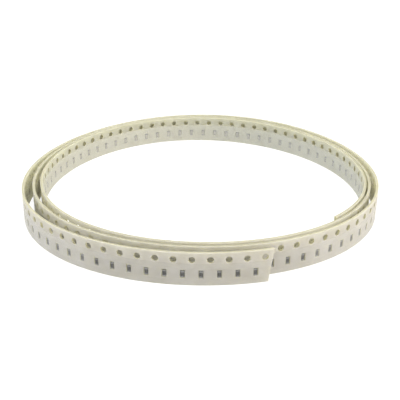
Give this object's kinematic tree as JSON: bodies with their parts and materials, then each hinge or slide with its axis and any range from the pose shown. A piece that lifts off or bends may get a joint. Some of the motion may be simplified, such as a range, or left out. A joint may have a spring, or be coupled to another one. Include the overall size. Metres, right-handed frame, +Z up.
{
  "type": "component carrier tape coil",
  "caption": "Punched paper carrier tape with chip resistors sealed in its pockets, left in a loose coil that stands on its edge.",
  "frame": {"origin": "middle of the coil's outline, on the surface that the strip's lower edge rests on", "axes": "+Z up, across the strip; the outer end of the strip is at the front, a little to the right of -Y; the strip winds inward clockwise as seen from above"},
  "size_m": [0.0956, 0.1006, 0.008],
  "materials": {
    "paper": "uncoated, punched",
    "clear_film": "clear gloss",
    "milky_film": "milky satin",
    "chip_ceramic": "fired alumina",
    "chip_coat": "dark resin coat",
    "chip_plating": "matte tin plating"
  },
  "bodies": {
    "root": {"carrier_tape": "paper", "outer_cover_film": "clear_film", "inner_cover_film": "milky_film", "chip_bodies_01": "chip_ceramic", "chip_bodies_02": "chip_ceramic", "chip_bodies_03": "chip_ceramic", "chip_bodies_04": "chip_ceramic", "chip_bodies_05": "chip_ceramic", "chip_bodies_06": "chip_ceramic", "chip_bodies_07": "chip_ceramic", "chip_bodies_08": "chip_ceramic", "chip_bodies_09": "chip_ceramic", "chip_bodies_10": "chip_ceramic", "chip_bodies_11": "chip_ceramic", "chip_bodies_12": "chip_ceramic", "chip_coats_01": "chip_coat", "chip_coats_02": "chip_coat", "chip_coats_03": "chip_coat", "chip_coats_04": "chip_coat", "chip_coats_05": "chip_coat", "chip_coats_06": "chip_coat", "chip_coats_07": "chip_coat", "chip_coats_08": "chip_coat", "chip_coats_09": "chip_coat", "chip_coats_10": "chip_coat", "chip_coats_11": "chip_coat", "chip_coats_12": "chip_coat", "chip_ends_01": "chip_plating", "chip_ends_02": "chip_plating", "chip_ends_03": "chip_plating", "chip_ends_04": "chip_plating", "chip_ends_05": "chip_plating", "chip_ends_06": "chip_plating", "chip_ends_07": "chip_plating", "chip_ends_08": "chip_plating", "chip_ends_09": "chip_plating", "chip_ends_10": "chip_plating", "chip_ends_11": "chip_plating", "chip_ends_12": "chip_plating"}
  },
  "joints": []
}
